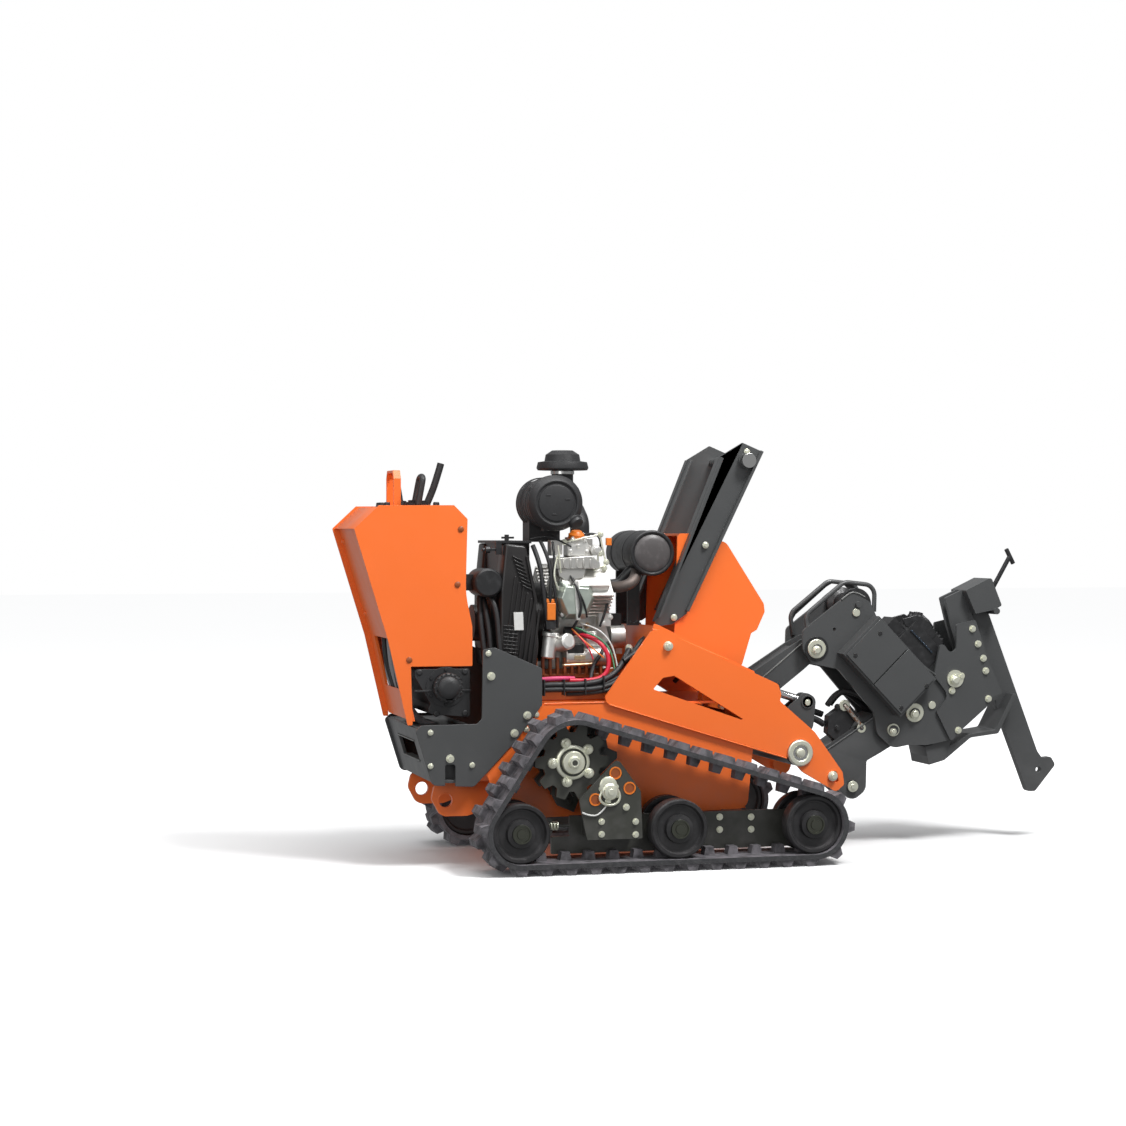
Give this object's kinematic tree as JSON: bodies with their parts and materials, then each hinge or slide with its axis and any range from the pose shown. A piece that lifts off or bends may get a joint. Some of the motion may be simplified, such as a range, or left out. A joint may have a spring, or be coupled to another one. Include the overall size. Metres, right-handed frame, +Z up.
{
  "type": "tracked vibratory plow",
  "caption": "Walk-behind vibratory cable plow on rubber tracks with engine, control tower, cable reel carrier and a lifting blade.",
  "frame": {"origin": "middle of the bottom of the whole machine, on the ground", "axes": "+X towards the plow end, +Y to the left facing +X, +Z up"},
  "size_m": [2.2754, 0.868, 1.2355],
  "materials": {
    "black_plastic": "moulded",
    "black_steel": "satin black",
    "cast": "die cast",
    "grey_paint": "satin powder coat",
    "hose_rubber": "smooth",
    "olive_paint": "satin paint",
    "orange_paint": "gloss powder coat",
    "steel": "ground steel",
    "track_rubber": "moulded, dusty",
    "zinc": "zinc plated"
  },
  "bodies": {
    "chassis": {"air_cleaner": "black_plastic", "arm_plates": "orange_paint", "battery": "black_plastic", "blower_housing": "black_plastic", "boom_pivot_pin": "steel", "chassis_bolts": "zinc", "chassis_frame": "orange_paint", "cylinder_heads": "cast", "drive_motors": "black_steel", "engine_accessories": "cast", "engine_block": "cast", "fuel_tank": "black_plastic", "hood_shell": "orange_paint", "hydraulic_filter": "black_steel", "intake_elbow": "hose_rubber", "lever_shafts": "steel", "muffler": "black_steel", "plow_hoses": "hose_rubber", "rain_cap": "black_plastic", "rear_guards": "grey_paint", "rear_weight": "grey_paint", "reel_uprights": "grey_paint", "tower_deck": "orange_paint", "tower_rear_panel": "orange_paint", "tower_side_left": "orange_paint", "tower_side_right": "orange_paint", "track_belt_left": "track_rubber", "track_belt_right": "track_rubber", "track_frame_left": "olive_paint", "track_frame_right": "olive_paint"},
    "boom": {"boom": "grey_paint"},
    "plow": {"plow_frame": "grey_paint", "vibrator_housing": "grey_paint", "vibrator_motor": "black_steel", "blade_carrier": "grey_paint", "blade": "grey_paint", "skid_shoe": "grey_paint", "plow_bolts": "zinc"},
    "upper_link": {"upper_link": "grey_paint"},
    "lift_barrel": {"lift_barrel": "black_steel"},
    "lift_rod": {"lift_rod": "steel"},
    "ground_roller": {"ground_roller": "black_steel"},
    "eccentric_upper": {"eccentric_upper": "steel"},
    "eccentric_lower": {"eccentric_lower": "steel"},
    "blade_t_handle": {"blade_t_handle": "black_steel"},
    "sheave_roller": {"sheave_roller": "black_steel"},
    "drive_lever_left": {"drive_lever_left": "black_steel"},
    "drive_lever_right": {"drive_lever_right": "black_steel"},
    "lift_lever": {"lift_lever": "black_steel"},
    "fuel_cap": {"fuel_cap": "black_plastic"},
    "flywheel_screen": {"flywheel_screen": "black_plastic"},
    "reel_axle": {"reel_axle": "steel"},
    "sprocket_left": {"sprocket_left": "olive_paint"},
    "sprocket_right": {"sprocket_right": "olive_paint"},
    "rear_idler_left": {"rear_idler_left": "black_steel"},
    "rear_idler_right": {"rear_idler_right": "black_steel"},
    "mid_roller_left": {"mid_roller_left": "black_steel"},
    "mid_roller_right": {"mid_roller_right": "black_steel"},
    "front_idler_left": {"front_idler_left": "black_steel"},
    "front_idler_right": {"front_idler_right": "black_steel"}
  },
  "joints": [
    {"name": "boom_lift", "type": "hinge", "parent": "chassis", "child": "boom", "pos_m": [0.19448, 0, 0.312], "axis": [0, 1, 0], "range_deg": [0, 42], "deforming": ["plow_hoses"]},
    {"name": "plow_pitch", "type": "hinge", "parent": "boom", "child": "plow", "pos_m": [0.55848, 0, 0.36], "axis": [0, 1, 0], "range_deg": [-22.21, 1]},
    {"name": "upper_link_pivot", "type": "hinge", "parent": "plow", "child": "upper_link", "pos_m": [0.30748, 0, 0.613], "axis": [0, 1, 0], "range_deg": [-1, 26.41]},
    {"name": "cylinder_swing", "type": "hinge", "parent": "chassis", "child": "lift_barrel", "pos_m": [-0.05752, -0.155, 0.553], "axis": [0, 1, 0], "range_deg": [-1, 5.79]},
    {"name": "cylinder_stroke", "type": "slide", "parent": "lift_barrel", "child": "lift_rod", "axis": [0.954, 0, -0.2999], "range_m": [-0.001, 0.11]},
    {"name": "sprocket_spin_left", "type": "hinge", "parent": "chassis", "child": "sprocket_left", "pos_m": [-0.54652, 0.344, 0.316], "axis": [0, 1, 0], "continuous": true},
    {"name": "rear_idler_spin_left", "type": "hinge", "parent": "chassis", "child": "rear_idler_left", "pos_m": [-0.70352, 0.344, 0.1196], "axis": [0, 1, 0], "continuous": true},
    {"name": "mid_roller_spin_left", "type": "hinge", "parent": "chassis", "child": "mid_roller_left", "pos_m": [-0.23652, 0.344, 0.1196], "axis": [0, 1, 0], "continuous": true},
    {"name": "front_idler_spin_left", "type": "hinge", "parent": "chassis", "child": "front_idler_left", "pos_m": [0.17448, 0.344, 0.1196], "axis": [0, 1, 0], "continuous": true},
    {"name": "sprocket_spin_right", "type": "hinge", "parent": "chassis", "child": "sprocket_right", "pos_m": [-0.54652, -0.344, 0.316], "axis": [0, 1, 0], "continuous": true},
    {"name": "rear_idler_spin_right", "type": "hinge", "parent": "chassis", "child": "rear_idler_right", "pos_m": [-0.70352, -0.344, 0.1196], "axis": [0, 1, 0], "continuous": true},
    {"name": "mid_roller_spin_right", "type": "hinge", "parent": "chassis", "child": "mid_roller_right", "pos_m": [-0.23652, -0.344, 0.1196], "axis": [0, 1, 0], "continuous": true},
    {"name": "front_idler_spin_right", "type": "hinge", "parent": "chassis", "child": "front_idler_right", "pos_m": [0.17448, -0.344, 0.1196], "axis": [0, 1, 0], "continuous": true},
    {"name": "sheave_spin", "type": "hinge", "parent": "plow", "child": "sheave_roller", "pos_m": [0.44248, 0, 0.747], "axis": [0, 1, 0], "continuous": true},
    {"name": "ground_roller_spin", "type": "hinge", "parent": "boom", "child": "ground_roller", "pos_m": [0.43048, 0, 0.188], "axis": [0, 1, 0], "continuous": true},
    {"name": "eccentric_spin_upper", "type": "hinge", "parent": "plow", "child": "eccentric_upper", "pos_m": [0.48719, 0, 0.59972], "axis": [0, 1, 0], "continuous": true},
    {"name": "eccentric_spin_lower", "type": "hinge", "parent": "plow", "child": "eccentric_lower", "pos_m": [0.56777, 0, 0.51628], "axis": [0, 1, 0], "continuous": true},
    {"name": "blade_lock_turn", "type": "hinge", "parent": "plow", "child": "blade_t_handle", "pos_m": [0.92748, 0, 0.79], "axis": [0.5021, 0, 0.8648], "range_deg": [0, 360]},
    {"name": "drive_lever_tilt_left", "type": "hinge", "parent": "chassis", "child": "drive_lever_left", "pos_m": [-0.94652, 0.095, 1.01], "axis": [0, 1, 0], "range_deg": [-15, 15], "stiffness_Nm_per_rad": 2},
    {"name": "drive_lever_tilt_right", "type": "hinge", "parent": "chassis", "child": "drive_lever_right", "pos_m": [-0.94652, -0.095, 1.01], "axis": [0, 1, 0], "range_deg": [-15, 15], "stiffness_Nm_per_rad": 2},
    {"name": "lift_lever_tilt", "type": "hinge", "parent": "chassis", "child": "lift_lever", "pos_m": [-0.90552, 0, 1.01], "axis": [0, 1, 0], "range_deg": [-15, 15], "stiffness_Nm_per_rad": 2},
    {"name": "fuel_cap_turn", "type": "hinge", "parent": "chassis", "child": "fuel_cap", "pos_m": [-0.87152, -0.187, 0.523], "axis": [0, -1, 0], "range_deg": [0, 90]},
    {"name": "flywheel_spin", "type": "hinge", "parent": "chassis", "child": "flywheel_screen", "pos_m": [-0.70652, 0, 0.7], "axis": [1, 0, 0], "continuous": true},
    {"name": "reel_axle_pull", "type": "slide", "parent": "chassis", "child": "reel_axle", "axis": [0, -1, 0], "range_m": [0, 0.36]}
  ],
  "couplings": [
    {"joint": "plow_pitch", "follows": "boom_lift", "ratio": -0.505},
    {"joint": "upper_link_pivot", "follows": "boom_lift", "ratio": 0.605},
    {"joint": "cylinder_swing", "follows": "boom_lift", "ratio": 0.114},
    {"joint": "cylinder_stroke", "follows": "boom_lift", "m_per_rad": 0.14553},
    {"joint": "eccentric_spin_lower", "follows": "eccentric_spin_upper", "ratio": -1},
    {"joint": "rear_idler_spin_left", "follows": "sprocket_spin_left", "ratio": 1.2792},
    {"joint": "mid_roller_spin_left", "follows": "sprocket_spin_left", "ratio": 1.2792},
    {"joint": "front_idler_spin_left", "follows": "sprocket_spin_left", "ratio": 1.2792},
    {"joint": "rear_idler_spin_right", "follows": "sprocket_spin_right", "ratio": 1.2792},
    {"joint": "mid_roller_spin_right", "follows": "sprocket_spin_right", "ratio": 1.2792},
    {"joint": "front_idler_spin_right", "follows": "sprocket_spin_right", "ratio": 1.2792}
  ]
}
